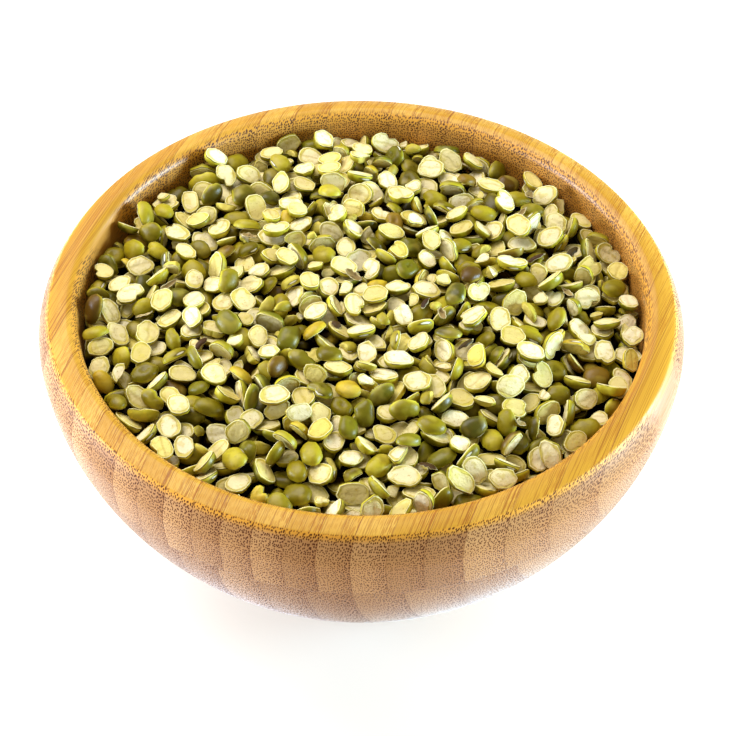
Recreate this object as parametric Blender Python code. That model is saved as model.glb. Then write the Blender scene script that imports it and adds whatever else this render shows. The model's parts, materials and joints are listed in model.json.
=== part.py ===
"""A small turned bamboo bowl heaped with dry split green lentils, modelled at real size in metres.

+Z is up, and the origin is the middle of the bowl's foot, on the surface that it stands on.
The bowl is one turned piece. The lentils are one heap: a core with the halves that show fused on.
"""

import math
import random

import bmesh
import bpy
from mathutils import Matrix, Vector

MM = 0.001

# The bowl, turned from a glued bamboo block
BOWL_HEIGHT = 52 * MM
WIDEST_RADIUS = 58.25 * MM
WIDEST_DROP = 1 * MM
FOOT_RADIUS = 28.8 * MM
FOOT_ROUNDING = 1.2 * MM
WALL_POWER = 2.14
RIM_EDGE_RADIUS = 55.8 * MM
RIM_EDGE_DROP = 0.8 * MM
SHOULDER_DEPTH = 6.5 * MM
RIM_INNER_RADIUS = 50.6 * MM
RIM_INNER_ROUNDING = 2.4 * MM
RIM_INNER_ARC = (95, 170)
INNER_DEPTH = 43 * MM
INNER_POWER = 2.3
BOWL_SEGMENTS = 48
OUTER_WALL_STEPS = 9
INNER_WALL_STEPS = 7
FIRST_STEP_SHARE = 0.6
ROUNDING_STEPS = 3
SHARP_ANGLE = math.radians(40)

# The heap of lentils
BOWL_GAP = 0.3 * MM
LENTIL_WALL_GAP = 0.4 * MM
HEAP_EDGE_DROP = 6.3 * MM
HEAP_RISE = 5.2 * MM
CORE_SEGMENTS = 24
CORE_TOP_RINGS = 4
LENTIL_COUNT = 320
LENTIL_LENGTH = 5.3 * MM
LENTIL_WIDTH = 3.9 * MM
LENTIL_THICKNESS = 1.9 * MM
LENTIL_SIZE_SPREAD = 0.12
LENTIL_SIDES = 6
DOME_TOP_SHARE = 0.66
DOME_TOP_DEPTH = 0.78
LENTIL_SINK = 0.35 * MM
LENTIL_SINK_SHARE = 0.25
CUT_FACE_UP_SHARE = 0.55
MOST_TILT = math.radians(42)
TILT_POWER = 1.4
PLACE_JITTER = 0.5 * MM
PLACE_STEP = 0.25 * MM
SEED = 7

GOLDEN_ANGLE = math.pi * (3 - math.sqrt(5))


def clear_scene():
    for thing in list(bpy.data.objects):
        bpy.data.objects.remove(thing)


def finish(name, colour, roughness):
    """A plain finish with the part's own colour."""
    material = bpy.data.materials.new(name)
    material.use_nodes = True
    shader = material.node_tree.nodes["Principled BSDF"]
    shader.inputs["Base Color"].default_value = (*colour, 1)
    shader.inputs["Roughness"].default_value = roughness
    shader.inputs["Metallic"].default_value = 0
    return material


def outer_radius(drop):
    """The outer wall's radius at a distance below the rim: out over a shoulder, then in to the foot."""
    share = max(0, drop - WIDEST_DROP) / (BOWL_HEIGHT - WIDEST_DROP)
    shoulder = max(0, 1 - (drop - RIM_EDGE_DROP) / SHOULDER_DEPTH)
    narrowing = (WIDEST_RADIUS - FOOT_RADIUS) * share**WALL_POWER
    return WIDEST_RADIUS - narrowing - (WIDEST_RADIUS - RIM_EDGE_RADIUS) * shoulder**2


def inner_radius(drop):
    """The inner wall's radius at a distance below the rim."""
    share = min(1, max(0, drop) / INNER_DEPTH)
    return RIM_INNER_RADIUS * (1 - share**INNER_POWER) ** (1 / INNER_POWER)


def inner_drop(radius):
    """How far below the rim the inner wall has a given radius."""
    share = min(1, radius / RIM_INNER_RADIUS)
    return INNER_DEPTH * (1 - share**INNER_POWER) ** (1 / INNER_POWER)


def inner_wall_radius(step):
    """The inner wall's radius at a step of its profile, from the rim down."""
    angle = math.pi / 2 * (step + FIRST_STEP_SHARE) / INNER_WALL_STEPS
    return RIM_INNER_RADIUS * math.cos(angle) ** (2 / INNER_POWER)


def arc(centre, radius, start, end, steps):
    """Points of a profile's rounding, with the angles in degrees from straight outwards."""
    points = []
    for i in range(steps + 1):
        angle = math.radians(start + (end - start) * i / steps)
        points.append((centre[0] + radius * math.cos(angle), centre[1] + radius * math.sin(angle)))
    return points


def bowl_profile():
    """(radius, height) from the edge of the foot, up the outside, over the rim and down inside."""
    points = [(FOOT_RADIUS - FOOT_ROUNDING, 0)]
    lowest = FOOT_ROUNDING
    highest = BOWL_HEIGHT - RIM_EDGE_DROP
    for i in range(OUTER_WALL_STEPS + 1):
        height = lowest + (highest - lowest) * math.sin(math.pi / 2 * i / OUTER_WALL_STEPS)
        points.append((outer_radius(BOWL_HEIGHT - height), height))
    inner_corner = (RIM_INNER_RADIUS + RIM_INNER_ROUNDING, BOWL_HEIGHT - RIM_INNER_ROUNDING)
    points += arc(inner_corner, RIM_INNER_ROUNDING, *RIM_INNER_ARC, ROUNDING_STEPS)
    for i in range(INNER_WALL_STEPS):
        radius = inner_wall_radius(i)
        if inner_drop(radius) > RIM_INNER_ROUNDING:
            points.append((radius, BOWL_HEIGHT - inner_drop(radius)))
    return points


def turned(name, profile, segments, material):
    """A closed solid turned round Z from a profile that runs from the bottom, up the outside and in again."""
    shape = bmesh.new()
    rings = []
    for radius, height in profile:
        ring = []
        for i in range(segments):
            angle = 2 * math.pi * i / segments
            ring.append(shape.verts.new((radius * math.cos(angle), radius * math.sin(angle), height)))
        rings.append(ring)
    for low, high in zip(rings, rings[1:]):
        for i in range(segments):
            j = (i + 1) % segments
            shape.faces.new((low[i], low[j], high[j], high[i]))
    shape.faces.new(reversed(rings[0]))
    shape.faces.new(rings[-1])
    return as_object(name, shape, material)


def as_object(name, shape, material):
    mesh = bpy.data.meshes.new(name)
    shape.to_mesh(mesh)
    shape.free()
    mesh.materials.append(material)
    made = bpy.data.objects.new(name, mesh)
    bpy.context.scene.collection.objects.link(made)
    return made


def core_edge_radius():
    return inner_radius(HEAP_EDGE_DROP) - BOWL_GAP


def core_height(radius):
    """Height of the bare core's top: highest in the middle and falling to the wall."""
    share = radius / core_edge_radius()
    return BOWL_HEIGHT - HEAP_EDGE_DROP + HEAP_RISE * (1 - share**2)


def core_slope(radius):
    """How steeply the core's top falls away from the middle, as an angle."""
    return math.atan(2 * HEAP_RISE * radius / core_edge_radius() ** 2)


def core_profile():
    """(radius, height) from the inner floor up the bowl's wall and in over the domed top."""
    points = []
    for i in reversed(range(INNER_WALL_STEPS)):
        radius = inner_wall_radius(i)
        if inner_drop(radius) > HEAP_EDGE_DROP:
            points.append((radius - BOWL_GAP, BOWL_HEIGHT - inner_drop(radius) + BOWL_GAP))
    for i in range(CORE_TOP_RINGS):
        radius = core_edge_radius() * (1 - i / CORE_TOP_RINGS)
        points.append((radius, core_height(radius)))
    return points


def lentil_half(length, width, thickness):
    """Points and faces of half a lentil: a flat cut face at Z 0, and the dome of its skin side below."""
    points = []
    for share, depth in ((1, 0), (DOME_TOP_SHARE, -DOME_TOP_DEPTH)):
        for i in range(LENTIL_SIDES):
            angle = 2 * math.pi * i / LENTIL_SIDES
            x = share * length / 2 * math.cos(angle)
            y = share * width / 2 * math.sin(angle)
            points.append(Vector((x, y, depth * thickness)))
    rim = list(range(LENTIL_SIDES))
    dome = [LENTIL_SIDES + i for i in rim]
    faces = [rim, list(reversed(dome))]
    for i in rim:
        j = (i + 1) % LENTIL_SIDES
        faces.append([rim[i], dome[i], dome[j], rim[j]])
    return points, faces


def lentil_turn(draw, radius, bearing):
    """A lentil's turn: any way round, tilted at random, either side up, and laid on the heap's slope."""
    spin = Matrix.Rotation(draw.uniform(0, 2 * math.pi), 3, "Z")
    tilt_about = Matrix.Rotation(draw.uniform(0, 2 * math.pi), 3, "Z") @ Vector((1, 0, 0))
    tilt = Matrix.Rotation(MOST_TILT * draw.random() ** TILT_POWER, 3, tilt_about)
    side_up = Matrix.Identity(3)
    if draw.random() > CUT_FACE_UP_SHARE:
        side_up = Matrix.Rotation(math.pi, 3, "X")
    downhill_axis = Vector((-math.sin(bearing), math.cos(bearing), 0))
    slope = Matrix.Rotation(core_slope(radius), 3, downhill_axis)
    return slope @ tilt @ spin @ side_up


def inside_bowl(points):
    for point in points:
        drop = max(0, BOWL_HEIGHT - point.z)
        if math.hypot(point.x, point.y) > inner_radius(drop) - LENTIL_WALL_GAP:
            return False
    return True


def placed_lentil(draw, index):
    """The world points and faces of one lentil, spread over the heap by the golden angle."""
    size = 1 + draw.uniform(-LENTIL_SIZE_SPREAD, LENTIL_SIZE_SPREAD)
    points, faces = lentil_half(LENTIL_LENGTH * size, LENTIL_WIDTH * size, LENTIL_THICKNESS * size)
    radius = core_edge_radius() * math.sqrt((index + 0.5) / LENTIL_COUNT)
    bearing = index * GOLDEN_ANGLE
    turn = lentil_turn(draw, radius, bearing)
    turned_points = [turn @ point for point in points]
    lowest = min(point.z for point in turned_points)
    shift_x = draw.uniform(-PLACE_JITTER, PLACE_JITTER)
    shift_y = draw.uniform(-PLACE_JITTER, PLACE_JITTER)
    while True:
        middle = Vector((radius * math.cos(bearing) + shift_x, radius * math.sin(bearing) + shift_y, 0))
        middle.z = core_height(radius) - lowest * (1 - LENTIL_SINK_SHARE) - LENTIL_SINK
        world = [middle + point for point in turned_points]
        if inside_bowl(world):
            return world, faces
        radius -= PLACE_STEP


def lentil_object(name, points, faces, collection):
    mesh = bpy.data.meshes.new(name)
    mesh.from_pydata(points, [], faces)
    shape = bmesh.new()
    shape.from_mesh(mesh)
    bmesh.ops.recalc_face_normals(shape, faces=shape.faces)
    shape.to_mesh(mesh)
    shape.free()
    made = bpy.data.objects.new(name, mesh)
    collection.objects.link(made)
    return made


def islands(shape):
    """The faces of each connected piece of a mesh."""
    left = set(shape.faces)
    found = []
    while left:
        seed = left.pop()
        piece, edge = [seed], [seed]
        while edge:
            for side in edge.pop().edges:
                for face in side.link_faces:
                    if face in left:
                        left.remove(face)
                        piece.append(face)
                        edge.append(face)
        found.append(piece)
    return found


def keep_largest_piece(mesh):
    """Drops loose scraps, and the inner faces of sealed hollows, which fills them."""
    shape = bmesh.new()
    shape.from_mesh(mesh)
    pieces = sorted(islands(shape), key=lambda faces: sum(face.calc_area() for face in faces))
    spare = [face for piece in pieces[:-1] for face in piece]
    bmesh.ops.delete(shape, geom=spare, context="FACES")
    shape.to_mesh(mesh)
    shape.free()


def fuse(core, collection):
    """Joins the collection's objects to the core by one Boolean union, and removes them."""
    union = core.modifiers.new("fused_lentils", "BOOLEAN")
    union.operation = "UNION"
    union.operand_type = "COLLECTION"
    union.collection = collection
    union.solver = "MANIFOLD"
    graph = bpy.context.evaluated_depsgraph_get()
    fused = bpy.data.meshes.new_from_object(core.evaluated_get(graph))
    core.modifiers.remove(union)
    core.data = fused
    for thing in list(collection.objects):
        bpy.data.objects.remove(thing)
    bpy.data.collections.remove(collection)
    keep_largest_piece(core.data)


def make_bowl():
    bamboo = finish("bamboo", (0.56, 0.36, 0.17), 0.45)
    bowl = turned("bowl", bowl_profile(), BOWL_SEGMENTS, bamboo)
    bowl.data.shade_smooth()
    bowl.data.set_sharp_from_angle(angle=SHARP_ANGLE)


def make_lentils():
    green = finish("lentil", (0.45, 0.45, 0.12), 0.55)
    heap = turned("lentils", core_profile(), CORE_SEGMENTS, green)
    loose = bpy.data.collections.new("loose_lentils")
    bpy.context.scene.collection.children.link(loose)
    draw = random.Random(SEED)
    for index in range(LENTIL_COUNT):
        points, faces = placed_lentil(draw, index)
        lentil_object(f"lentil_{index}", points, faces, loose)
    fuse(heap, loose)


clear_scene()
make_bowl()
make_lentils()
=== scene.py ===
"""Looks for a small turned bamboo bowl heaped with dry split green lentils, in metres, +Z up.

The bowl is turned from glued bamboo strips: its finish is a solid pattern of strips, fibres and glue.
The heap is a lumpy core, coloured almost black as painted shade, with loose halves settled on it one by one,
each kind of half as one piece.
"""

import json
import math

import bpy
import numpy as np
from mathutils import Matrix, Vector

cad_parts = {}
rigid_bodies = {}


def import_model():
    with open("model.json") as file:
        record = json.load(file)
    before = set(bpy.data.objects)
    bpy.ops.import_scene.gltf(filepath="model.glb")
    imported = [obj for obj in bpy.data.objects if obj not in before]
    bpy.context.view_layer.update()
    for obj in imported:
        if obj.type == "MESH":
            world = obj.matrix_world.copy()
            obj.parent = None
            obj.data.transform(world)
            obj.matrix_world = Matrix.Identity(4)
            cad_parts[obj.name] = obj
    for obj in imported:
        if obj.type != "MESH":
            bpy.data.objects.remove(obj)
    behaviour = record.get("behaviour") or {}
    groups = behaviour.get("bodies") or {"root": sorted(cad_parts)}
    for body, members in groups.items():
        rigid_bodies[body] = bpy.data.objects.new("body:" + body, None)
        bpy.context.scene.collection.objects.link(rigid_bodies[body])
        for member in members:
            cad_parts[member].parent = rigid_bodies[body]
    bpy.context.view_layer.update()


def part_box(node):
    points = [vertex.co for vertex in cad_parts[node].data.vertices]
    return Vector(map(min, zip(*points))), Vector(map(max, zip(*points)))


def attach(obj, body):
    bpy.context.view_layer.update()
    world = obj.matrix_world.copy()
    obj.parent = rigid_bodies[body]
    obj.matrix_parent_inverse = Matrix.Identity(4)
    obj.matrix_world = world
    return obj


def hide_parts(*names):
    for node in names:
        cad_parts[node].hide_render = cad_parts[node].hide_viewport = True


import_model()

MM = 0.001
BOWL_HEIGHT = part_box("bowl")[1].z
HEAP_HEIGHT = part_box("lentils")[1].z

# The bowl's turned profile
RIM_MARGIN = 0.02 * MM
WIDEST_RADIUS = 58.15 * MM
WIDEST_DROP = 1 * MM
FOOT_RADIUS = 28.8 * MM
FOOT_ROUNDING = 1.2 * MM
WALL_POWER = 2.14
RIM_EDGE_RADIUS = 55.8 * MM
RIM_EDGE_DROP = 0.8 * MM
RIM_EDGE_ROUNDING = 0.35 * MM
SHOULDER_DEPTH = 6.5 * MM
RIM_INNER_RADIUS = 50.6 * MM
RIM_INNER_ROUNDING = 2.4 * MM
INNER_DEPTH = 43 * MM
INNER_POWER = 2.3
WALL_STEPS = 44
ROUNDING_STEPS = 9
BOWL_SEGMENTS = 224

# The bamboo block that it is turned from
FIBRE_BEARING = math.radians(21)
TOP_STRIP_WIDTH = 5.52 * MM
TOP_STRIP_START = 8.32 * MM
LOW_STRIP_WIDTH = 7.8 * MM
LOW_STRIP_START = 19.35 * MM
LAYER_JOINT_HEIGHT = 37 * MM
BUNDLE_SPACING = 0.37 * MM
STRIP_SHIFT = 0.05

# The heap and its core
HEAP_EDGE_DROP = 6.3 * MM
HEAP_RISE = 5.2 * MM
HIGHEST = HEAP_HEIGHT - 0.25 * MM
CORE_GAP = 0.3 * MM
CORE_EDGE_DROP = HEAP_EDGE_DROP + 1.6 * MM
CORE_BODY_DROP = HEAP_EDGE_DROP + 5 * MM
CORE_RINGS = 96
CORE_SEGMENTS = 240
CORE_BODY_RINGS = 8
HIDDEN_LAYER = 1.6 * MM
LOOSE_LAYER = 5.2 * MM

# How the lentils settle
CELL = 0.3 * MM
FIELD_RADIUS = 52.5 * MM
SPOT_MARGIN = 2 * MM
SPOT_REACH = 1.3 * MM
SPOT_SPREAD = 0.8 * MM
LEAST_HOLLOW = 0.5 * MM
MOST_MISSES = 25
LEAN_SPREAD = 0.85
MOST_LEAN = 1.35
WAYS_TO_LIE = 16
NUDGES = 18
NUDGE_ROUNDS = ((0.45 * MM, 0.22), (0.25 * MM, 0.14), (0.15 * MM, 0.08))
SEED = 11

# The gaps between them, which get painted shade
LEVEL_REACH = 1.8 * MM
GAP_START = 0.42 * MM
GAP_DEPTH = 0.85 * MM

# The lentils
LENTIL_LENGTH = 5.3 * MM
LENTIL_WIDTH = 3.95 * MM
LENTIL_THICKNESS = 1.75 * MM
LENTIL_SIDES = 16
SHAPES_PER_KIND = 12
SAMPLE_STEP = 0.05

# name, share of the heap, how often the cut face lies up, smallest and largest size
KINDS = (
    ("olive", 0.22, 0.6, 0.86, 1.07),
    ("green", 0.14, 0.58, 0.84, 1.04),
    ("brown", 0.05, 0.5, 0.84, 1.02),
    ("pale", 0.36, 0.82, 0.86, 1.07),
    ("golden", 0.05, 0.6, 0.82, 1.0),
    ("broken", 0.18, 0.7, 0.5, 0.95),
)

# share of the outline, depth below the cut face, and how much the cut face still rules
BANDS = (
    (0.4, 0.0, 1.0),
    (0.7, 0.01, 1.0),
    (0.86, 0.05, 1.0),
    (0.95, 0.0, 1.0),
    (1.0, 0.12, 0.4),
    (0.985, 0.38, 0.0),
    (0.86, 0.68, 0.0),
    (0.6, 0.89, 0.0),
    (0.3, 0.98, 0.0),
)
LIP_BAND = 4

# The loose skins
SKIN_COUNT = 16
SKIN_ROOM = (4.0 * MM, 2.6 * MM, 0.7 * MM)
SKIN_THICKNESS = 0.09 * MM
SKIN_ROWS = 9
SKIN_COLUMNS = 7

# Bamboo's colours, as 0 to 255 screen values; where there are stops, each with its place
LONG_TONES = ((0.0, (182, 130, 30)), (0.5, (192, 141, 40)), (1.0, (204, 156, 58)))
END_TONES = ((0.0, (148, 103, 61)), (0.5, (165, 119, 71)), (1.0, (182, 136, 86)))
END_SHADE = (144, 92, 50)
INNER_TONE = (204, 140, 52)
RIM_TONE = (204, 142, 44)
STREAK_TONE = (128, 68, 6)
BUNDLE_LINE = (160, 94, 14)
BUNDLE_END = (74, 32, 6)
GLUE_TONE = (104, 58, 18)

# The lentils' colours, in the same way
CREAM = ((0.0, (206, 187, 108)), (0.4, (224, 208, 148)), (1.0, (234, 221, 180)))
STRAW = ((0.0, (206, 184, 84)), (0.4, (222, 202, 104)), (1.0, (232, 215, 136)))
LIME = (200, 182, 66)
SKIN_CLOUD = (86, 62, 6)
SKIN_WORN = (186, 166, 70)
SEAM_RIM = (64, 48, 10)
SEAM = (214, 206, 176)
# Painted shade in the cut face's groove and crease
PAINTED_CREASE_SHADE = (164, 138, 46)
# Painted highlight: a pale band along the cut face's edge
FACE_EDGE_PAINTED_HIGHLIGHT = (240, 233, 190)
FACE_SPECK = (176, 142, 70)
LIP_TONE = (70, 46, 8)
# Painted shade: a tint and a darkening for halves that lie in gaps
PAINTED_GAP_TINT = (255, 246, 170)
PAINTED_GAP_SHADE = (48, 34, 6)
# Painted shade: the heap's core, coloured almost black
PAINTED_SHADE_CORE_TONES = ((0.0, (14, 8, 2)), (0.6, (34, 24, 6)), (1.0, (62, 46, 12)))
HUSK_OUTSIDE = ((0.0, (40, 22, 6)), (0.6, (70, 42, 12)), (1.0, (64, 50, 10)))
HUSK_INSIDE = ((0.0, (110, 84, 34)), (1.0, (176, 152, 92)))
HUSK_FOLD = (58, 38, 12)
HUSK_EDGE = (198, 180, 130)

# The skin's darkest, middle and lightest colour, its edge, the cut face and how rough the skin is
DRESS = {
    "olive": ((82, 72, 2), (114, 100, 2), (146, 128, 10), (180, 166, 26), CREAM, 0.32),
    "green": ((72, 67, 4), (98, 91, 4), (128, 117, 12), (172, 164, 30), CREAM, 0.32),
    "brown": ((84, 58, 6), (114, 84, 12), (142, 112, 26), (166, 142, 30), CREAM, 0.34),
    "pale": ((124, 110, 6), (154, 137, 14), (184, 166, 36), (200, 187, 42), CREAM, 0.38),
    "golden": ((170, 138, 20), (194, 164, 34), (212, 184, 62), (210, 188, 50), STRAW, 0.38),
    "broken": ((122, 106, 12), (156, 138, 24), (190, 173, 62), (204, 188, 52), CREAM, 0.42),
}

# The light: name, size, power, place and colour of each lamp, and the tent round them
LAMPS = (
    ("top_lamp", (0.5, 0.46), 4.5, (-0.2, 0.2, 0.5), (0.98, 0.98, 1.08)),
    ("left_lamp", (0.2, 0.16), 2.8, (-0.42, -0.02, 0.1), (0.84, 1.04, 1.42)),
    ("right_lamp", (0.2, 0.16), 4.6, (0.42, -0.02, 0.1), (0.74, 1.08, 1.4)),
)
LAMP_AIM = Vector((0, 0, 0.03))
TENT_COLOUR = (1, 0.95, 0.66, 1)
TENT_STRENGTH = 0.36

# The floor, which glows more towards its sides
FLOOR_REACH = 3.0
FLOOR_COLOUR = (0.42, 0.38, 0.32, 1)
GLOW_COLOUR = (1, 0.97, 0.92, 1)
MIDDLE_GLOW = 0.55
SIDE_GLOW = 1.9
SIDE_GLOW_REACH = 160 * MM

# The camera, in front of the bowl and above it
CAMERA_ELEVATION = math.radians(43.73)
CAMERA_DISTANCE = 500 * MM
CAMERA_LENS = 137.2
CAMERA_ROLL = -0.016
CAMERA_TARGET = Vector((1.23 * MM, 0, 34.3 * MM))
CAMERA_ORBIT = Vector((0, 0, 52 * MM))


def from_screen(red, green, blue):
    """A colour as a shader's light values, from its 0 to 255 screen values."""
    light = []
    for value in (red, green, blue):
        share = value / 255
        light.append(share / 12.92 if share <= 0.04045 else ((share + 0.055) / 1.055) ** 2.4)
    return (*light, 1)


def add(tree, kind, inputs=None, **settings):
    """A new node in a tree, with its settings made and its inputs linked or filled."""
    node = tree.nodes.new(kind)
    for name, value in settings.items():
        setattr(node, name, value)
    for key, value in (inputs or {}).items():
        if isinstance(value, bpy.types.NodeSocket):
            tree.links.new(value, node.inputs[key])
        else:
            node.inputs[key].default_value = value
    return node


def maths(tree, operation, first, second=0.0, third=0.0, clamp=False):
    """One step of arithmetic between sockets or numbers."""
    values = {0: first, 1: second, 2: third}
    return add(tree, "ShaderNodeMath", values, operation=operation, use_clamp=clamp).outputs[0]


def times(tree, first, second):
    return maths(tree, "MULTIPLY", first, second)


def linear(tree, value, factor, shift, clamp=False):
    """A value times a factor, with a shift added."""
    return maths(tree, "MULTIPLY_ADD", value, factor, shift, clamp)


def smooth(tree, value, low, high):
    """0 below the low value, 1 above the high one, and a smooth step between them."""
    steps = {"Value": value, "From Min": low, "From Max": high}
    return add(tree, "ShaderNodeMapRange", steps, interpolation_type="SMOOTHSTEP").outputs["Result"]


def blend(tree, share, first, second, way="MIX"):
    """A colour with a second one laid over it by a share. The second is a socket or screen values."""
    if isinstance(second, tuple):
        second = from_screen(*second)
    sockets = {0: share, 6: first, 7: second}
    return add(tree, "ShaderNodeMix", sockets, data_type="RGBA", blend_type=way).outputs[2]


def ramp(tree, value, stops):
    """A colour ramp through stops, each with its place and its screen values."""
    node = add(tree, "ShaderNodeValToRGB", {"Fac": value})
    marks = node.color_ramp.elements
    while len(marks) < len(stops):
        marks.new(0.5)
    for mark, (place, colour) in zip(marks, stops):
        mark.position = place
        mark.color = from_screen(*colour)
    return node.outputs["Color"]


def noise(tree, place, scale, detail, roughness=0.5):
    """A cloudy pattern in space."""
    sockets = {"Vector": place, "Scale": scale, "Detail": detail, "Roughness": roughness}
    return add(tree, "ShaderNodeTexNoise", sockets).outputs["Fac"]


def noted(tree, name, output="Fac"):
    """What a mesh notes for each of its points."""
    return add(tree, "ShaderNodeAttribute", attribute_name=name).outputs[output]


def emboss(tree, shader, height, strength, distance):
    """Fine relief in a finish's surface."""
    relief = {"Height": height, "Strength": strength, "Distance": distance}
    tree.links.new(add(tree, "ShaderNodeBump", relief).outputs[0], shader.inputs["Normal"])


def new_finish(name):
    """A material with its node tree and its shader."""
    material = bpy.data.materials.new(name)
    material.use_nodes = True
    tree = material.node_tree
    return material, tree, tree.nodes["Principled BSDF"]


def outer_radius(drop):
    """The outer wall's radius at a distance below the rim: a shoulder at the rim, then in to the foot."""
    share = max(0, drop - WIDEST_DROP) / (BOWL_HEIGHT - WIDEST_DROP)
    shoulder = max(0, 1 - (drop - RIM_EDGE_DROP) / SHOULDER_DEPTH)
    narrowing = (WIDEST_RADIUS - FOOT_RADIUS) * share**WALL_POWER
    return WIDEST_RADIUS - narrowing - (WIDEST_RADIUS - RIM_EDGE_RADIUS) * shoulder**2


def inner_drop(radius):
    """How far below the rim the inner wall has a given radius."""
    share = np.clip(radius / RIM_INNER_RADIUS, 0, 1)
    return INNER_DEPTH * (1 - share**INNER_POWER) ** (1 / INNER_POWER)


def inner_radius(drop):
    """The inner wall's radius at a distance below the rim."""
    share = min(1, max(0, drop) / INNER_DEPTH)
    return RIM_INNER_RADIUS * (1 - share**INNER_POWER) ** (1 / INNER_POWER)


def arc(centre, radius, start, end, steps):
    """Points of a profile's rounding, with the angles in degrees from straight outwards."""
    points = []
    for i in range(steps + 1):
        angle = math.radians(start + (end - start) * i / steps)
        points.append((centre[0] + radius * math.cos(angle), centre[1] + radius * math.sin(angle)))
    return points


def eased_corner(before, corner, after, reach, steps):
    """Points of a small rounding at a profile's corner, from its neighbours on each side."""
    points = []
    start = corner + (before - corner).normalized() * reach
    end = corner + (after - corner).normalized() * reach
    for i in range(steps + 1):
        t = i / steps
        points.append(tuple((1 - t) ** 2 * start + 2 * t * (1 - t) * corner + t**2 * end))
    return points


def bowl_profile():
    """(radius, height) from the middle of the foot up the outside, over the rim and down to the floor."""
    points = [(0, 0), (FOOT_RADIUS * 0.5, 0)]
    middle = (FOOT_RADIUS - FOOT_ROUNDING, FOOT_ROUNDING)
    points += arc(middle, FOOT_ROUNDING, -90, -15, ROUNDING_STEPS)
    lowest = FOOT_ROUNDING
    highest = BOWL_HEIGHT - RIM_EDGE_DROP - 2 * RIM_EDGE_ROUNDING
    for i in range(1, WALL_STEPS + 1):
        height = lowest + (highest - lowest) * math.sin(math.pi / 2 * i / WALL_STEPS)
        points.append((outer_radius(BOWL_HEIGHT - height), height))
    top = BOWL_HEIGHT - RIM_MARGIN - RIM_INNER_ROUNDING
    middle = (RIM_INNER_RADIUS + RIM_INNER_ROUNDING, top)
    over = arc(middle, RIM_INNER_ROUNDING, 92, 172, ROUNDING_STEPS)
    corner = Vector((RIM_EDGE_RADIUS, BOWL_HEIGHT - RIM_EDGE_DROP))
    points += eased_corner(Vector(points[-1]), corner, Vector(over[0]), RIM_EDGE_ROUNDING, 4)
    points += over
    for i in range(1, WALL_STEPS + 1):
        radius = RIM_INNER_RADIUS * math.cos(math.pi / 2 * i / WALL_STEPS) ** (2 / INNER_POWER)
        drop = float(inner_drop(radius))
        if drop > RIM_INNER_ROUNDING:
            points.append((radius, BOWL_HEIGHT - RIM_MARGIN - drop))
    return points


def new_tree(name, inputs):
    """A geometry node tree with named inputs of given kinds, and its input sockets."""
    tree = bpy.data.node_groups.new(name, "GeometryNodeTree")
    for label, kind in inputs:
        tree.interface.new_socket(label, in_out="INPUT", socket_type="NodeSocket" + kind)
    tree.interface.new_socket("Geometry", in_out="OUTPUT", socket_type="NodeSocketGeometry")
    return tree, tree.nodes.new("NodeGroupInput").outputs


def end_tree(tree, geometry, finish):
    """Ends a tree with real meshes in their finish."""
    real = add(tree, "GeometryNodeRealizeInstances", {"Geometry": geometry}).outputs[0]
    dressed = add(tree, "GeometryNodeSetMaterial", {"Geometry": real, "Material": finish}).outputs[0]
    add(tree, "NodeGroupOutput", {"Geometry": dressed})


def turned_tree():
    """Geometry nodes that turn a profile's points round Z into a closed surface."""
    inputs = (("Profile", "Geometry"), ("Segments", "Int"), ("Weld", "Float"), ("Finish", "Material"))
    tree, given = new_tree("Turned piece", inputs)
    count = add(tree, "GeometryNodeAttributeDomainSize", {0: given["Profile"]}, component="MESH")
    rows = maths(tree, "ADD", given["Segments"], 1)
    size = {"Vertices X": count.outputs["Point Count"], "Vertices Y": rows}
    grid = add(tree, "GeometryNodeMeshGrid", size).outputs["Mesh"]
    index = tree.nodes.new("GeometryNodeInputIndex").outputs[0]
    along = maths(tree, "FLOOR", maths(tree, "DIVIDE", index, rows))
    step = maths(tree, "SUBTRACT", index, times(tree, along, rows))
    angle = times(tree, maths(tree, "DIVIDE", step, given["Segments"]), 2 * math.pi)
    place = tree.nodes.new("GeometryNodeInputPosition").outputs[0]
    pick = {"Geometry": given["Profile"], "Value": place, "Index": along}
    point = add(tree, "GeometryNodeSampleIndex", pick, data_type="FLOAT_VECTOR").outputs[0]
    spin = {"Vector": point, "Axis": (0, 0, 1), "Angle": angle}
    spun = add(tree, "ShaderNodeVectorRotate", spin).outputs[0]
    moved = add(tree, "GeometryNodeSetPosition", {"Geometry": grid, "Position": spun}).outputs[0]
    weld = {"Geometry": moved, "Distance": given["Weld"]}
    closed = add(tree, "GeometryNodeMergeByDistance", weld).outputs[0]
    soft = add(tree, "GeometryNodeSetShadeSmooth", {"Geometry": closed}).outputs[0]
    end_tree(tree, soft, given["Finish"])
    return tree


def scatter_tree():
    """Geometry nodes that put a shape on each point, turned and sized as the point says."""
    inputs = (("Points", "Geometry"), ("Shapes", "Collection"), ("Size", "Float"), ("Finish", "Material"))
    tree, given = new_tree("Scattered pieces", inputs)
    shapes = {"Collection": given["Shapes"], "Separate Children": True, "Reset Children": True}
    shapes = add(tree, "GeometryNodeCollectionInfo", shapes).outputs[0]

    def of_point(name, kind):
        node = add(tree, "GeometryNodeInputNamedAttribute", {"Name": name}, data_type=kind)
        return node.outputs["Attribute"]

    turn = add(tree, "FunctionNodeEulerToRotation", {0: of_point("turn", "FLOAT_VECTOR")}).outputs[0]
    size = {0: of_point("size", "FLOAT_VECTOR"), "Scale": given["Size"]}
    size = add(tree, "ShaderNodeVectorMath", size, operation="SCALE").outputs[0]
    put = {
        "Points": given["Points"],
        "Instance": shapes,
        "Pick Instance": True,
        "Instance Index": of_point("shape", "INT"),
        "Rotation": turn,
        "Scale": size,
    }
    scattered = add(tree, "GeometryNodeInstanceOnPoints", put).outputs[0]
    end_tree(tree, scattered, given["Finish"])
    return tree


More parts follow.
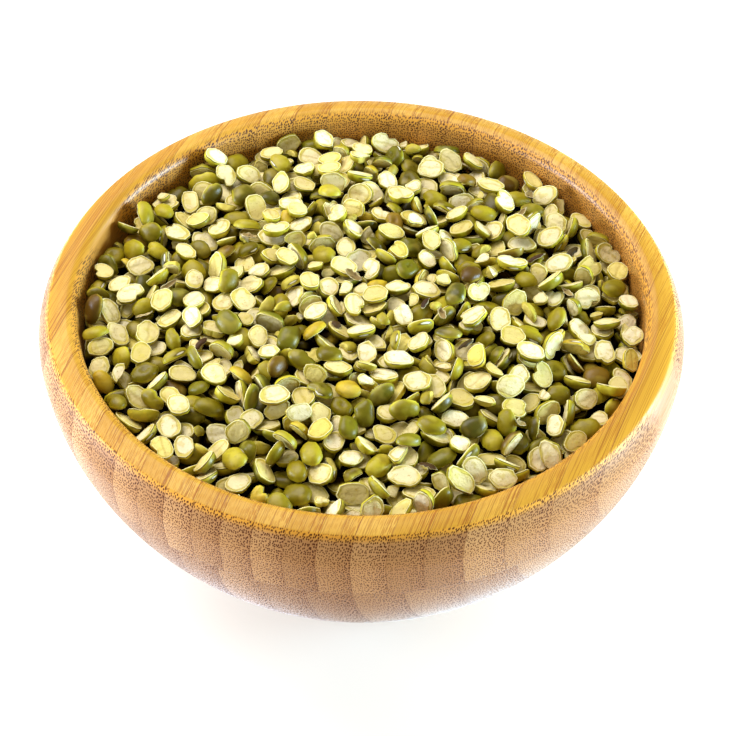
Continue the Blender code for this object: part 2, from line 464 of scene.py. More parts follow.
def grown(name, mesh, tree, values):
    """The plain mesh object that geometry nodes make from a mesh, given named input values."""
    source = bpy.data.objects.new(name + "_source", mesh)
    bpy.context.scene.collection.objects.link(source)
    modifier = source.modifiers.new("nodes", "NODES")
    modifier.node_group = tree
    for item in tree.interface.items_tree:
        if item.in_out == "INPUT" and item.name in values:
            modifier[item.identifier] = values[item.name]
    graph = bpy.context.evaluated_depsgraph_get()
    made = bpy.data.objects.new(name, bpy.data.meshes.new_from_object(source.evaluated_get(graph)))
    made.data.name = name
    bpy.data.objects.remove(source)
    bpy.context.scene.collection.objects.link(made)
    return made


def settle_on_root(piece, node):
    """Lets a piece replace a node, on the one body."""
    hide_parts(node)
    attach(piece, "root")


def bamboo_finish():
    """Laminated bamboo: strips side by side in two layers, with fibre bundles that end as dark dots."""
    material, tree, shader = new_finish("bamboo")
    place = tree.nodes.new("ShaderNodeTexCoord").outputs
    lay = {"Vector": place["Object"], "Rotation": (0, 0, FIBRE_BEARING)}
    block = add(tree, "ShaderNodeMapping", lay).outputs[0]
    across, _, up = add(tree, "ShaderNodeSeparateXYZ", {0: block}).outputs

    # The strips, each with its own tone and its own grain
    top_layer = maths(tree, "GREATER_THAN", up, LAYER_JOINT_HEIGHT)
    start = linear(tree, top_layer, TOP_STRIP_START - LOW_STRIP_START, LOW_STRIP_START)
    width = linear(tree, top_layer, TOP_STRIP_WIDTH - LOW_STRIP_WIDTH, LOW_STRIP_WIDTH)
    strips = maths(tree, "DIVIDE", maths(tree, "SUBTRACT", across, start), width)
    inside = maths(tree, "FRACT", strips)
    number = {0: maths(tree, "FLOOR", strips), 1: top_layer}
    number = add(tree, "ShaderNodeCombineXYZ", number).outputs[0]
    chance = add(tree, "ShaderNodeTexWhiteNoise", {"Vector": number}, noise_dimensions="3D").outputs
    tone = chance["Value"]
    shift = {0: chance["Color"], "Scale": STRIP_SHIFT}
    shift = add(tree, "ShaderNodeVectorMath", shift, operation="SCALE").outputs[0]
    own = add(tree, "ShaderNodeVectorMath", {0: block, 1: shift}, operation="ADD").outputs[0]

    def fibres(scale, roughness=0.5):
        """Noise that is stretched along a strip's fibres."""
        laid = add(tree, "ShaderNodeMapping", {"Vector": own, "Scale": scale}).outputs[0]
        return noise(tree, laid, 1.0, 2.0, roughness)

    # The bundles: dots where they end, larger and closer at one side of each strip and at the rim
    round_wall = maths(tree, "ARCSINE", maths(tree, "DIVIDE", across, WIDEST_RADIUS + 1 * MM))
    round_wall = times(tree, round_wall, WIDEST_RADIUS)
    rise = times(tree, maths(tree, "POWER", up, 2.0), 0.8 / (2 * BOWL_HEIGHT))
    ends = add(tree, "ShaderNodeCombineXYZ", {0: round_wall, 1: rise}).outputs[0]
    ends = add(tree, "ShaderNodeVectorMath", {0: ends, 1: shift}, operation="ADD").outputs[0]
    bundles = {"Vector": ends, "Scale": 1 / BUNDLE_SPACING, "Randomness": 0.72}
    bundle = add(tree, "ShaderNodeTexVoronoi", bundles, voronoi_dimensions="2D").outputs["Distance"]
    crowd = maths(tree, "POWER", inside, 2.0)
    size = linear(tree, crowd, 0.07, 0.255)
    size = linear(tree, smooth(tree, up, BOWL_HEIGHT - 7 * MM, BOWL_HEIGHT - 1 * MM), 0.04, size)
    bundle = smooth(tree, maths(tree, "SUBTRACT", size, bundle), -0.05, 0.05)
    streak = fibres((6800, 20, 260), 0.55)
    broad = fibres((420, 12.6, 420))

    # Where the wood shows its ends, faces up, and faces out of the bowl
    facing = {0: place["Normal"], 1: (math.sin(FIBRE_BEARING), math.cos(FIBRE_BEARING), 0)}
    facing = add(tree, "ShaderNodeVectorMath", facing, operation="DOT_PRODUCT").outputs["Value"]
    up_facing = add(tree, "ShaderNodeSeparateXYZ", {0: place["Normal"]}).outputs[2]
    end = smooth(tree, maths(tree, "ABSOLUTE", facing), 0.05, 0.16)
    end = times(tree, end, smooth(tree, up_facing, 0.94, 0.76))
    top = smooth(tree, up_facing, 0.45, 0.8)
    level = {0: place["Object"], 1: (1, 1, 0)}
    level = add(tree, "ShaderNodeVectorMath", level, operation="MULTIPLY").outputs[0]
    outwards = {0: level, 1: place["Normal"]}
    outwards = add(tree, "ShaderNodeVectorMath", outwards, operation="DOT_PRODUCT").outputs["Value"]
    outwards = smooth(tree, outwards, -2 * MM, 12 * MM)

    # End grain
    end_ground = blend(tree, times(tree, crowd, 0.42), ramp(tree, tone, END_TONES), END_SHADE)
    end_ground = blend(tree, times(tree, smooth(tree, broad, 0.4, 0.8), 0.15), end_ground, END_SHADE)
    inner_share = times(tree, maths(tree, "SUBTRACT", 1.0, outwards), 0.85)
    end_ground = blend(tree, inner_share, end_ground, INNER_TONE)
    gold = times(tree, smooth(tree, up, BOWL_HEIGHT - 2.2 * MM, BOWL_HEIGHT - 1 * MM), 0.9)
    end_ground = blend(tree, gold, end_ground, RIM_TONE)
    dot_share = times(tree, bundle, linear(tree, crowd, 0.1, 0.88))
    end_grain = blend(tree, dot_share, end_ground, BUNDLE_END)

    # Long grain
    long_grain = blend(tree, top, end_ground, ramp(tree, tone, LONG_TONES))
    streak_share = times(tree, linear(tree, crowd, 0.55, 0.4), linear(tree, top, 0.6, 0.4))
    streak_share = times(tree, smooth(tree, streak, 0.55, 0.58), streak_share)
    long_grain = blend(tree, streak_share, long_grain, STREAK_TONE)
    line_share = times(tree, times(tree, bundle, linear(tree, crowd, 0.4, 0.2)), top)
    long_grain = blend(tree, line_share, long_grain, BUNDLE_LINE)

    # Glue between the strips and between the layers
    edge = times(tree, maths(tree, "MINIMUM", inside, maths(tree, "SUBTRACT", 1.0, inside)), width)
    glue = smooth(tree, edge, 0.11 * MM, 0.02 * MM)
    layer = maths(tree, "ABSOLUTE", maths(tree, "SUBTRACT", up, LAYER_JOINT_HEIGHT))
    glue = maths(tree, "MAXIMUM", glue, smooth(tree, layer, 0.14 * MM, 0.03 * MM))
    colour = blend(tree, end, long_grain, end_grain)
    colour = blend(tree, times(tree, glue, 0.45), colour, GLUE_TONE)
    tree.links.new(colour, shader.inputs["Base Color"])

    # Oil inside and on the rim, dry and hazy outside
    rough = linear(tree, bundle, 0.12, linear(tree, streak, 0.15, 0.34))
    tree.links.new(rough, shader.inputs["Roughness"])
    dry = times(tree, outwards, end)
    tree.links.new(linear(tree, dry, -0.16, 0.22), shader.inputs["Specular IOR Level"])
    coat = linear(tree, outwards, -0.36, 0.46)
    coat = linear(tree, smooth(tree, up_facing, 0.8, 0.95), -0.36, coat, clamp=True)
    tree.links.new(coat, shader.inputs["Coat Weight"])
    shader.inputs["Coat Roughness"].default_value = 0.38
    haze = times(tree, outwards, linear(tree, bundle, -0.36, 0.47))
    tree.links.new(haze, shader.inputs["Sheen Weight"])
    shader.inputs["Sheen Roughness"].default_value = 0.3
    pits = times(tree, times(tree, bundle, end), -1.0)
    pits = linear(tree, glue, -0.6, linear(tree, streak, 0.25, pits))
    emboss(tree, shader, pits, 0.5, 0.06 * MM)
    return material


def make_bowl():
    """The turned bowl, as one closed surface."""
    profile = bpy.data.meshes.new("bowl_profile")
    profile.from_pydata([(radius, 0, height) for radius, height in bowl_profile()], [], [])
    values = {"Segments": BOWL_SEGMENTS, "Weld": 0.002 * MM, "Finish": bamboo_finish()}
    bowl = grown("bamboo_bowl", profile, turned_tree(), values)
    bpy.data.meshes.remove(profile)
    settle_on_root(bowl, "bowl")


def heap_top(radius):
    """The mean height of the heap's surface at a radius."""
    edge = inner_radius(HEAP_EDGE_DROP) - CORE_GAP
    share = np.minimum(1, radius / edge)
    return BOWL_HEIGHT - HEAP_EDGE_DROP + HEAP_RISE * (1 - share**2)


def axis_turns(axes, angles):
    """Rotation matrices about unit axes, one for each angle."""
    x, y, z = axes[:, 0], axes[:, 1], axes[:, 2]
    zero = np.zeros_like(x)
    cross = np.stack([zero, -z, y, z, zero, -x, -y, x, zero], axis=1).reshape(-1, 3, 3)
    s = np.sin(angles)[:, None, None]
    c = np.cos(angles)[:, None, None]
    return np.eye(3) + s * cross + (1 - c) * (cross @ cross)


def lentil_samples(step):
    """Points all over a half of unit size, close enough together to cover the field's cells."""
    points = []
    for x in np.arange(-0.5, 0.5001, step):
        for y in np.arange(-0.5, 0.5001, step * LENTIL_LENGTH / LENTIL_WIDTH):
            reach = abs(2 * x) ** 2.4 + abs(2 * y) ** 2.4
            if reach <= 1:
                points.append((x, y, 0))
                points.append((x, y, -max(0.12, (1 - reach) ** 0.45)))
    return np.array(points)


class Field:
    """The heap's surface while it fills: a height for each small cell, seen from above."""

    def __init__(self):
        count = int(2 * FIELD_RADIUS / CELL) + 1
        line = np.arange(count) * CELL - FIELD_RADIUS
        self.radius = np.hypot(*np.meshgrid(line, line, indexing="ij"))
        wall = BOWL_HEIGHT - inner_drop(self.radius) + CORE_GAP * 0.5
        wall[self.radius > RIM_INNER_RADIUS - 0.2 * MM] = 3 * BOWL_HEIGHT
        core = heap_top(self.radius) - HIDDEN_LAYER - LOOSE_LAYER
        self.height = np.maximum(core, wall)
        self.last = count - 1

    def cells(self, x, y):
        i = ((x + FIELD_RADIUS) / CELL).astype(int).clip(0, self.last)
        j = ((y + FIELD_RADIUS) / CELL).astype(int).clip(0, self.last)
        return i, j

    def at(self, x, y):
        return self.height[self.cells(x, y)]

    def rest(self, points, turns, spots):
        """The height at which each candidate comes to rest, and the height of its top."""
        laid = np.einsum("kij,nj->kni", turns, points)
        under = self.at(laid[..., 0] + spots[:, None, 0], laid[..., 1] + spots[:, None, 1])
        height = (under - laid[..., 2]).max(axis=1)
        return height, height + laid[..., 2].max(axis=1)

    def cover(self, points, turn, spot, height):
        """Raises the surface to the top of what has come to rest."""
        laid = points @ turn.T
        cells = self.cells(laid[:, 0] + spot[0], laid[:, 1] + spot[1])
        np.maximum.at(self.height, cells, laid[:, 2] + height)

    def even_out(self):
        """Replaces each cell's height by the mean height of the heap around it."""
        level = np.minimum(self.height, heap_top(self.radius))
        reach = int(LEVEL_REACH / CELL)
        shifts = range(-reach, reach + 1)
        for axis in (0, 1):
            level = sum(np.roll(level, shift, axis) for shift in shifts) / len(shifts)
        self.height = level

    def hollow_spot(self, draw, ceiling, tries=40):
        """A random spot that still lies low, and how far it lies below the ceiling."""
        radius = (RIM_INNER_RADIUS - SPOT_MARGIN) * np.sqrt(draw.random(tries))
        bearing = draw.random(tries) * 2 * math.pi
        spots = np.stack([radius * np.cos(bearing), radius * np.sin(bearing)], axis=1)
        reach = (-SPOT_REACH, 0, SPOT_REACH)
        around = np.array([(a, b) for a in reach for b in reach])
        near = spots[:, None] + around
        level = np.minimum(self.at(near[..., 0], near[..., 1]), BOWL_HEIGHT).mean(axis=1)
        short = heap_top(radius) - ceiling - level
        best = int(np.argmax(short))
        return spots[best], short[best]


def lowest(field, points, turns, spots):
    """Which candidate comes to rest lowest inside the heap's height, where, and whether it fits there."""
    rest, top = field.rest(points, turns, spots)
    middle = rest - turns[:, 2, 2] * LENTIL_THICKNESS * 0.4
    best = int(np.argmin(middle + 5 * np.maximum(0, top - HIGHEST)))
    return best, rest[best], top[best] < HIGHEST


def settle(field, draw, points, spot, flipped, lean_angle):
    """Lets one piece come to rest near a spot: tries some ways to lie, then works the lowest one in."""
    upright = np.tile((0.0, 0.0, 1.0), (WAYS_TO_LIE, 1))
    turns = axis_turns(upright, draw.random(WAYS_TO_LIE) * 2 * math.pi)
    if flipped:
        turns = np.diag((1.0, -1.0, -1.0)) @ turns
    bearing = draw.random(WAYS_TO_LIE) * 2 * math.pi
    lean = np.stack([np.cos(bearing), np.sin(bearing), np.zeros(WAYS_TO_LIE)], axis=1)
    turns = axis_turns(lean, lean_angle * draw.uniform(0.8, 1.2, WAYS_TO_LIE)) @ turns
    spots = spot + draw.normal(0, SPOT_SPREAD, (WAYS_TO_LIE, 2))
    best, height, fits = lowest(field, points, turns, spots)
    for spread, swing in NUDGE_ROUNDS:
        axes = draw.normal(size=(NUDGES, 3))
        axes /= np.linalg.norm(axes, axis=1)[:, None]
        nudges = axis_turns(axes, draw.normal(0, swing, NUDGES))
        nudges[0] = np.eye(3)
        shifts = draw.normal(0, spread, (NUDGES, 2))
        shifts[0] = 0
        turns = nudges @ turns[best]
        spots = spots[best] + shifts
        best, height, fits = lowest(field, points, turns, spots)
    return turns[best], spots[best], height, fits


def fill_bowl():
    """Settles the hidden lentils, keeps their relief for the core, then settles the loose ones by kind."""
    draw = np.random.default_rng(SEED)
    field = Field()
    samples = lentil_samples(SAMPLE_STEP)
    usual = np.array((LENTIL_LENGTH, LENTIL_WIDTH, LENTIL_THICKNESS))
    shares = np.array([kind[1] for kind in KINDS])
    placed = {kind[0]: [] for kind in KINDS}
    relief = None
    for ceiling, kept in ((LOOSE_LAYER, False), (0.0, True)):
        misses = 0
        while misses < MOST_MISSES:
            spot, short = field.hollow_spot(draw, ceiling)
            if short < LEAST_HOLLOW:
                misses += 1
                continue
            kind = draw.choice(len(KINDS), p=shares / shares.sum())
            name, _, face_up, smallest, largest = KINDS[kind]
            size = usual * draw.uniform(smallest, largest) * draw.uniform(0.94, 1.06, 3)
            points = samples * size
            flipped = draw.random() > face_up
            lean = min(MOST_LEAN, abs(draw.normal(0, LEAN_SPREAD)))
            turn, spot, height, fits = settle(field, draw, points, spot, flipped, lean)
            if not fits:
                misses += 1
                continue
            misses = 0
            field.cover(points, turn, spot, height)
            if kept:
                placed[name].append((turn, (*spot, height), size))
        if not kept:
            relief = field.height.copy()
    placed["skins"] = []
    husk = samples * SKIN_ROOM
    while len(placed["skins"]) < SKIN_COUNT:
        spot, _ = field.hollow_spot(draw, 0.0, 1)
        flipped = draw.random() > 0.5
        turn, spot, height, fits = settle(field, draw, husk, spot, flipped, draw.uniform(0, 0.6))
        if fits:
            field.cover(husk, turn, spot, height)
            placed["skins"].append((turn, (*spot, height), (1, 1, 1)))
    return relief, field, placed


def plain_mesh(name, points, faces):
    """A mesh from its points and faces."""
    mesh = bpy.data.meshes.new(name)
    mesh.from_pydata([tuple(point) for point in points], [], faces)
    mesh.update()
    return mesh


def note(mesh, name, kind, values, domain="POINT"):
    """Writes one value for each point of a mesh as a named attribute."""
    key = "vector" if kind == "FLOAT_VECTOR" else "value"
    flat = np.asarray(values, dtype=np.int32 if kind == "INT" else np.float32).ravel()
    mesh.attributes.new(name, kind, domain).data.foreach_set(key, flat)


def ringed_faces(rings, sides):
    """Faces of a closed form: a point in the middle, rings outwards and down, and a point below."""
    faces = [(0, 1 + i, 1 + (i + 1) % sides) for i in range(sides)]
    for ring in range(rings - 1):
        a = 1 + ring * sides
        for i in range(sides):
            j = (i + 1) % sides
            faces.append((a + i, a + sides + i, a + sides + j, a + j))
    a = 1 + (rings - 1) * sides
    faces += [(a + i, 1 + rings * sides, a + (i + 1) % sides) for i in range(sides)]
    return faces


def lentil_outline(draw, broken):
    """The angle and reach of each of a half's sides, with waves, worn corners or a bite, and its breaks."""
    angles = np.arange(LENTIL_SIDES) * 2 * math.pi / LENTIL_SIDES
    power = draw.uniform(2.0, 2.7)
    reach = (abs(np.cos(angles)) ** power + abs(np.sin(angles)) ** power) ** (-1 / power)
    for wave in range(2, 8):
        swell = draw.normal(0, 0.014)
        reach = reach * (1 + swell * np.cos(wave * angles + draw.uniform(0, 2 * math.pi)))
    torn = np.zeros(LENTIL_SIDES)

    def cut_off(reach, away, bearing):
        facing = np.maximum(np.cos(angles - bearing), 0.02)
        return np.minimum(reach, away / facing)

    for _ in range(draw.integers(0, 4)):
        reach = cut_off(reach, draw.uniform(0.82, 0.98), draw.uniform(0, 2 * math.pi))
    if draw.random() < (0.5 if broken else 0.22):
        off = (angles - draw.uniform(0, 2 * math.pi) + math.pi) % (2 * math.pi) - math.pi
        depth = draw.uniform(0.25, 0.6)
        reach = reach * (1 - depth * np.exp(-((off / draw.uniform(0.3, 0.5)) ** 2)))
    if broken:
        left = cut_off(reach, draw.uniform(0.05, 0.5), draw.uniform(0, 2 * math.pi))
        left = left * (1 + draw.normal(0, 0.03, LENTIL_SIDES) * (left < reach))
        torn = (left < 0.97 * reach).astype(float)
        reach = left
    return angles, reach, torn


def lentil_shape(name, draw, broken):
    """One half of unit size, cut face up at Z 0: outline, pillowed or dished face, soft edge, domed back."""
    angles, reach, torn = lentil_outline(draw, broken)
    bend = draw.uniform(-0.05, 0.09)
    pillow = draw.uniform(-0.14, 0.14)
    groove = draw.uniform(0.0, 0.1)
    warp = draw.normal(0, 0.05, 2)
    dent = draw.uniform(0.3, 0.6) if draw.random() < 0.15 else 0
    points, cut, way = [(0, 0, pillow - groove)], [1.0], [0.0]
    for share, depth, ruled in BANDS:
        x = 0.5 * share * reach * np.cos(angles)
        y = 0.5 * share * reach * np.sin(angles)
        y = y - bend * (4 * x * x - 0.5) * 0.5
        z = -depth + draw.normal(0, 0.012, LENTIL_SIDES)
        if ruled > 0.5:
            z = z + pillow * (1 - share**2) - groove * np.exp(-((y / 0.1) ** 2)) * (1 - share)
        if depth < 0.5:
            z = z + warp[0] * 4 * x * x + warp[1] * 4 * x * y
        z = z + dent * max(0, depth - 0.7)
        points += list(zip(x.tolist(), y.tolist(), z.tolist()))
        cut += np.maximum(ruled, torn).tolist()
        way += [share if ruled > 0.5 else 1 + depth] * LENTIL_SIDES
    points.append((0, 0, -1 + dent))
    cut.append(0.0)
    way.append(2.0)
    mesh = plain_mesh(name, points, ringed_faces(len(BANDS), LENTIL_SIDES))
    note(mesh, "cut", "FLOAT", cut)
    note(mesh, "way", "FLOAT", way)
    note(mesh, "local", "FLOAT_VECTOR", points)
    mesh.shade_smooth()
    if draw.random() < 0.6:
        start = 1 + LIP_BAND * LENTIL_SIDES
        lip = range(start, start + LENTIL_SIDES)
        sharp = [edge.vertices[0] in lip and edge.vertices[1] in lip for edge in mesh.edges]
        mesh.attributes.new("sharp_edge", "BOOLEAN", "EDGE").data.foreach_set("value", sharp)
    return mesh


def skin_shape(name, draw):
    """A loose skin in real size: a thin closed husk that curls across its width, with a torn edge."""
    rows, columns = SKIN_ROWS, SKIN_COLUMNS
    length, width = draw.uniform(2.2, 3.8) * MM, draw.uniform(1.4, 2.6) * MM
    radius = width / draw.uniform(1.6, 3.4)
    bow = draw.uniform(0.2, 0.8) * MM
    outer, inner, edge = [], [], []
    for i in range(rows):
        u = 2 * i / (rows - 1) - 1
        left, right = 0.5 * width * (1 - 0.8 * abs(u) ** 2.2) * draw.uniform(0.55, 1.1, 2)
        for j in range(columns):
            v = -left + (left + right) * j / (columns - 1)
            s, c = math.sin(v / radius), math.cos(v / radius)
            x = 0.5 * length * u * draw.uniform(0.88, 1.08)
            y = radius * s
            z = -radius * (1 - c) - bow * u * u
            outer.append((x, y, z))
            inner.append((x, y - SKIN_THICKNESS * s, z - SKIN_THICKNESS * c))
            edge.append(1.0 if i in (0, rows - 1) or j in (0, columns - 1) else 0.0)
    count = rows * columns
    faces = []
    for i in range(rows - 1):
        for j in range(columns - 1):
            a = i * columns + j
            faces.append((a, a + columns, a + columns + 1, a + 1))
            faces.append((a + count, a + count + 1, a + count + columns + 1, a + count + columns))
    border = list(range(columns))
    border += [i * columns + columns - 1 for i in range(1, rows)]
    border += [(rows - 1) * columns + j for j in range(columns - 2, -1, -1)]
    border += [i * columns for i in range(rows - 2, 0, -1)]
    for a, b in zip(border, border[1:] + border[:1]):
        faces.append((a, b, b + count, a + count))
    mesh = plain_mesh(name, outer + inner, faces)
    note(mesh, "cut", "FLOAT", [0.0] * count + [1.0] * count)
    note(mesh, "way", "FLOAT", edge + edge)
    mesh.shade_smooth()
    return mesh


def lentil_finish(name, skin, edge, face, skin_roughness):
    """Skin on the dome and a pale mealy cut face, both different from one half to the next."""
    material, tree, shader = new_finish(name)
    place = tree.nodes.new("ShaderNodeTexCoord").outputs["Object"]
    cut, tint, tone, way, sunk = [noted(tree, each) for each in ("cut", "tint", "tone", "way", "sunk")]
    x, y, z = add(tree, "ShaderNodeSeparateXYZ", {0: noted(tree, "local", "Vector")}).outputs
    fine = noise(tree, place, 2400.0, 3.0)
    cloud = noise(tree, place, 800.0, 2.0)
    blotch = noise(tree, place, 330.0, 1.0)

    def near(value, middle, far, close):
        """1 where a value is close to a middle one, 0 where it is far from it."""
        off = maths(tree, "ABSOLUTE", maths(tree, "SUBTRACT", value, middle))
        return smooth(tree, off, far, close)

    # The skin: cloudy, worn in places, thin at its edge, on some with a pale seam
    clouded = times(tree, smooth(tree, cloud, 0.46, 0.66), 0.22)
    skin_colour = blend(tree, clouded, ramp(tree, tint, skin), SKIN_CLOUD)
    worn = times(tree, smooth(tree, blotch, 0.52, 0.7), 0.36)
    skin_colour = blend(tree, worn, skin_colour, SKIN_WORN)
    thin = times(tree, smooth(tree, way, 1.62, 1.12), linear(tree, tone, 0.4, 0.55))
    thin = times(tree, thin, smooth(tree, blotch, 0.3, 0.55))
    skin_colour = blend(tree, thin, skin_colour, edge)
    flat = maths(tree, "DIVIDE", x, 0.17)
    level = maths(tree, "DIVIDE", maths(tree, "ADD", z, 0.42), 0.1)
    seam = maths(tree, "ADD", times(tree, flat, flat), times(tree, level, level))
    shown = times(tree, smooth(tree, y, 0.2, 0.3), smooth(tree, tone, 0.7, 0.75))
    seam_rim = times(tree, times(tree, smooth(tree, seam, 3.4, 1.4), shown), 0.7)
    skin_colour = blend(tree, seam_rim, skin_colour, SEAM_RIM)
    skin_colour = blend(tree, times(tree, smooth(tree, seam, 1.1, 0.6), shown), skin_colour, SEAM)

    # The cut face: greener outside, with a groove and a crease in painted shade, a painted highlight along
    # its edge, and specks
    wavy = linear(tree, maths(tree, "SUBTRACT", blotch, 0.5), 0.8, way)
    outside = times(tree, smooth(tree, wavy, 0.64, 0.94), 0.85)
    face_colour = blend(tree, outside, ramp(tree, tone, face), LIME)
    patch = times(tree, smooth(tree, cloud, 0.52, 0.66), 0.4)
    face_colour = blend(tree, patch, face_colour, LIME)
    groove = times(tree, near(wavy, 0.82, 0.07, 0.0), smooth(tree, cloud, 0.38, 0.56))
    crease = maths(tree, "ABSOLUTE", linear(tree, blotch, 0.5, maths(tree, "SUBTRACT", y, 0.25)))
    crease = times(tree, smooth(tree, crease, 0.12, 0.0), smooth(tree, tint, 0.5, 0.8))
    marks = maths(tree, "MAXIMUM", groove, times(tree, crease, 0.6))
    # Painted shade: the groove and the crease are coloured darker
    face_colour = blend(tree, times(tree, marks, 0.6), face_colour, PAINTED_CREASE_SHADE)
    # Painted highlight along the cut face's edge
    face_colour = blend(tree, times(tree, near(way, 0.96, 0.07, 0.01), 0.75), face_colour, FACE_EDGE_PAINTED_HIGHLIGHT)
    speck = times(tree, smooth(tree, fine, 0.62, 0.7), 0.6)
    face_colour = blend(tree, speck, face_colour, FACE_SPECK)

    # Both together: a dark lip between them in places, and painted shade where they lie in a gap
    share = smooth(tree, cut, 0.3, 0.6)
    colour = blend(tree, share, skin_colour, face_colour)
    lip = times(tree, near(way, 1.08, 0.09, 0.02), smooth(tree, blotch, 0.46, 0.54))
    colour = blend(tree, times(tree, lip, 0.85), colour, LIP_TONE)
    # Painted shade: halves deep in a gap are tinted and darkened
    colour = blend(tree, smooth(tree, sunk, 0.0, 0.5), colour, PAINTED_GAP_TINT, way="MULTIPLY")
    colour = blend(tree, sunk, colour, PAINTED_GAP_SHADE, way="MULTIPLY")
    tree.links.new(colour, shader.inputs["Base Color"])

    rough = linear(tree, share, 0.6 - skin_roughness, skin_roughness)
    tree.links.new(linear(tree, fine, 0.12, rough), shader.inputs["Roughness"])
    gloss = linear(tree, sunk, -0.2, linear(tree, share, -0.16, 0.26), clamp=True)
    tree.links.new(gloss, shader.inputs["Specular IOR Level"])
    height = linear(tree, marks, -0.3, times(tree, fine, 0.6))
    height = linear(tree, cloud, 1.2, height)
    emboss(tree, shader, height, 0.7, linear(tree, share, 0.16 * MM, 0.08 * MM))
    return material


def skin_finish():
    """Papery skin: dark brown outside, tan inside and pale at its torn edge."""
    material, tree, shader = new_finish("loose_skin")
    place = tree.nodes.new("ShaderNodeTexCoord").outputs["Object"]
    tint = noted(tree, "tint")
    crumple = noise(tree, place, 1400.0, 3.0)
    inside_share = smooth(tree, noted(tree, "cut"), 0.3, 0.7)
    colour = blend(tree, inside_share, ramp(tree, tint, HUSK_OUTSIDE), ramp(tree, tint, HUSK_INSIDE))
    colour = blend(tree, smooth(tree, crumple, 0.5, 0.75), colour, HUSK_FOLD)
    colour = blend(tree, smooth(tree, noted(tree, "way"), 0.45, 1.0), colour, HUSK_EDGE)
    tree.links.new(colour, shader.inputs["Base Color"])
    tree.links.new(linear(tree, crumple, 0.3, 0.4), shader.inputs["Roughness"])
    shader.inputs["Specular IOR Level"].default_value = 0.18
    emboss(tree, shader, crumple, 0.8, 0.2 * MM)
    return material


def core_finish():
    """Painted shade: lentils so deep down that they are coloured almost black."""
    material, tree, shader = new_finish("deep_lentils_painted_shade")
    place = tree.nodes.new("ShaderNodeTexCoord").outputs["Object"]
    patch = add(tree, "ShaderNodeTexVoronoi", {"Vector": place, "Scale": 260.0}).outputs["Color"]
    tree.links.new(ramp(tree, patch, PAINTED_SHADE_CORE_TONES), shader.inputs["Base Color"])
    shader.inputs["Roughness"].default_value = 0.9
    shader.inputs["Specular IOR Level"].default_value = 0.1
    return material


def make_core(relief, field):
    """The heap's core: deep lentils as relief on top, and a plain body that fills the bowl below."""
    angles = np.arange(CORE_SEGMENTS) * 2 * math.pi / CORE_SEGMENTS
    cosines, sines = np.cos(angles), np.sin(angles)
    middle = np.array(0.0)
    points = [(0, 0, float(relief[field.cells(middle, middle)]))]
    edge = inner_radius(CORE_EDGE_DROP) - CORE_GAP
    for k in range(1, CORE_RINGS + 1):
        radius = edge * k / CORE_RINGS
        x, y = radius * cosines, radius * sines
        z = relief[field.cells(x, y)]
        points += list(zip(x.tolist(), y.tolist(), z.tolist()))
    for drop in np.linspace(CORE_BODY_DROP, INNER_DEPTH - 1 * MM, CORE_BODY_RINGS):
        radius = inner_radius(drop) - CORE_GAP
        height = BOWL_HEIGHT - drop + CORE_GAP
        points += [(x, y, height) for x, y in zip(radius * cosines, radius * sines)]
    points.append((0, 0, BOWL_HEIGHT - INNER_DEPTH + CORE_GAP))
    faces = ringed_faces(CORE_RINGS + CORE_BODY_RINGS, CORE_SEGMENTS)
    mesh = plain_mesh("lentil_core", points, faces)
    mesh.shade_smooth()
    mesh.materials.append(core_finish())
    core = bpy.data.objects.new("lentil_core", mesh)
    bpy.context.scene.collection.objects.link(core)
    settle_on_root(core, "lentils")


def lentil_finishes():
    """The finish of each kind, and that of the loose skins."""
    finishes = {}
    for kind, (dark, middle, light, edge, face, roughness) in DRESS.items():
        skin = ((0.0, dark), (0.5, middle), (1.0, light))
        finishes[kind] = lentil_finish(kind + "_half", skin, edge, face, roughness)
    finishes["skins"] = skin_finish()
    return finishes


def note_gaps(mesh, level):
    """Notes how deep each point lies in a gap, for the painted shade there: 0 on the heap's surface, 1 well
    below it.
    """
    places = np.empty(3 * len(mesh.vertices), dtype=np.float32)
    mesh.vertices.foreach_get("co", places)
    x, y, z = places.reshape(-1, 3).T
    below = level.at(x, y) - z
    note(mesh, "sunk", "FLOAT", np.clip((below - GAP_START) / GAP_DEPTH, 0, 1))


def make_lentils():
    """The core and every kind of lentil on it, each kind as one piece."""
    relief, field, placed = fill_bowl()
    make_core(relief, field)
    field.even_out()
    tree = scatter_tree()
    finishes = lentil_finishes()
    draw = np.random.default_rng(SEED + 1)
    for kind, laid in placed.items():
        shapes = bpy.data.collections.new(kind + "_shapes")
        for i in range(SHAPES_PER_KIND):
            label = f"{kind}_shape_{i}"
            if kind == "skins":
                mesh = skin_shape(label, draw)
            else:
                mesh = lentil_shape(label, draw, kind == "broken")
            shapes.objects.link(bpy.data.objects.new(label, mesh))
        points = plain_mesh(kind + "_places", [place for _, place, _ in laid], [])
        turns = [tuple(Matrix(turn.tolist()).to_euler()) for turn, _, _ in laid]
        note(points, "turn", "FLOAT_VECTOR", turns)
        note(points, "size", "FLOAT_VECTOR", [size for _, _, size in laid])
        note(points, "shape", "INT", draw.integers(0, SHAPES_PER_KIND, len(laid)))
        note(points, "tint", "FLOAT", draw.random(len(laid)))
        note(points, "tone", "FLOAT", draw.random(len(laid)))
        values = {"Shapes": shapes, "Size": 1.0, "Finish": finishes[kind]}
        name = "lentil_skins" if kind == "skins" else "lentils_" + kind
        piece = grown(name, points, tree, values)
        note_gaps(piece.data, field)
        settle_on_root(piece, "lentils")
        for shape in list(shapes.objects):
            bpy.data.objects.remove(shape)
        bpy.data.collections.remove(shapes)


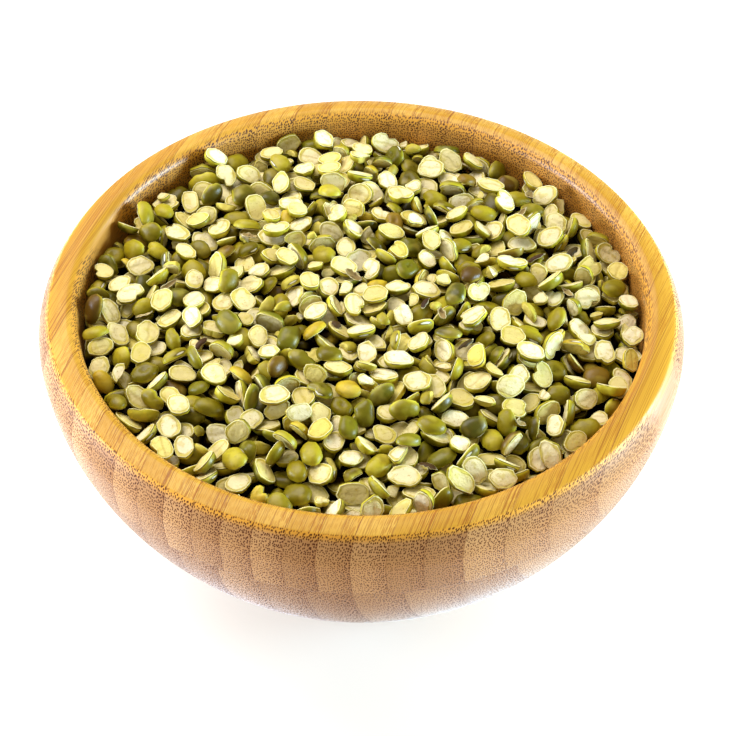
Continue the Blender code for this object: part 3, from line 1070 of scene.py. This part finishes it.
def make_floor():
    """A pale floor that glows, more so towards its sides."""
    size = FLOOR_REACH
    corners = [(-size, -size, 0), (size, -size, 0), (size, size, 0), (-size, size, 0)]
    floor = bpy.data.objects.new("floor", plain_mesh("floor", corners, [(0, 1, 2, 3)]))
    material, tree, shader = new_finish("white_table")
    shader.inputs["Base Color"].default_value = FLOOR_COLOUR
    shader.inputs["Roughness"].default_value = 0.7
    shader.inputs["Emission Color"].default_value = GLOW_COLOUR
    place = tree.nodes.new("ShaderNodeTexCoord").outputs["Object"]
    sideways = add(tree, "ShaderNodeSeparateXYZ", {0: place}).outputs[0]
    sideways = smooth(tree, maths(tree, "ABSOLUTE", sideways), 0, SIDE_GLOW_REACH)
    glow = linear(tree, sideways, SIDE_GLOW, MIDDLE_GLOW)
    tree.links.new(glow, shader.inputs["Emission Strength"])
    floor.data.materials.append(material)
    bpy.context.scene.collection.objects.link(floor)


def make_lamp(name, size, power, place, colour):
    """A rectangular lamp that shines on the bowl."""
    light = bpy.data.lights.new(name, "AREA")
    light.shape = "RECTANGLE"
    light.size, light.size_y = size
    light.energy = power
    light.color = colour
    lamp = bpy.data.objects.new(name, light)
    lamp.location = place
    lamp.rotation_euler = (LAMP_AIM - Vector(place)).to_track_quat("-Z", "Y").to_euler()
    bpy.context.scene.collection.objects.link(lamp)


def make_light_tent():
    """A white tent: even light all round, a large soft lamp above and one at each side."""
    world = bpy.data.worlds.new("white_tent")
    bpy.context.scene.world = world
    world.use_nodes = True
    sky = world.node_tree.nodes["Background"]
    sky.inputs["Color"].default_value = TENT_COLOUR
    sky.inputs["Strength"].default_value = TENT_STRENGTH
    for lamp in LAMPS:
        make_lamp(*lamp)
    bpy.context.scene.view_settings.view_transform = "Standard"


def make_camera():
    """The camera in front of the bowl, looking down on it."""
    back = Vector((0, -math.cos(CAMERA_ELEVATION), math.sin(CAMERA_ELEVATION)))
    place = CAMERA_ORBIT + back * CAMERA_DISTANCE
    away = (place - CAMERA_TARGET).normalized()
    right = Vector((0, 0, 1)).cross(away).normalized()
    up = away.cross(right)
    c, s = math.cos(CAMERA_ROLL), math.sin(CAMERA_ROLL)
    turn = Matrix((c * right - s * up, s * right + c * up, away)).transposed().to_4x4()
    data = bpy.data.cameras.new("camera")
    data.lens = CAMERA_LENS
    data.clip_start = 10 * MM
    camera = bpy.data.objects.new("camera", data)
    camera.matrix_world = Matrix.Translation(place) @ turn
    bpy.context.scene.collection.objects.link(camera)
    bpy.context.scene.camera = camera


make_camera()
make_light_tent()
make_floor()
make_bowl()
make_lentils()
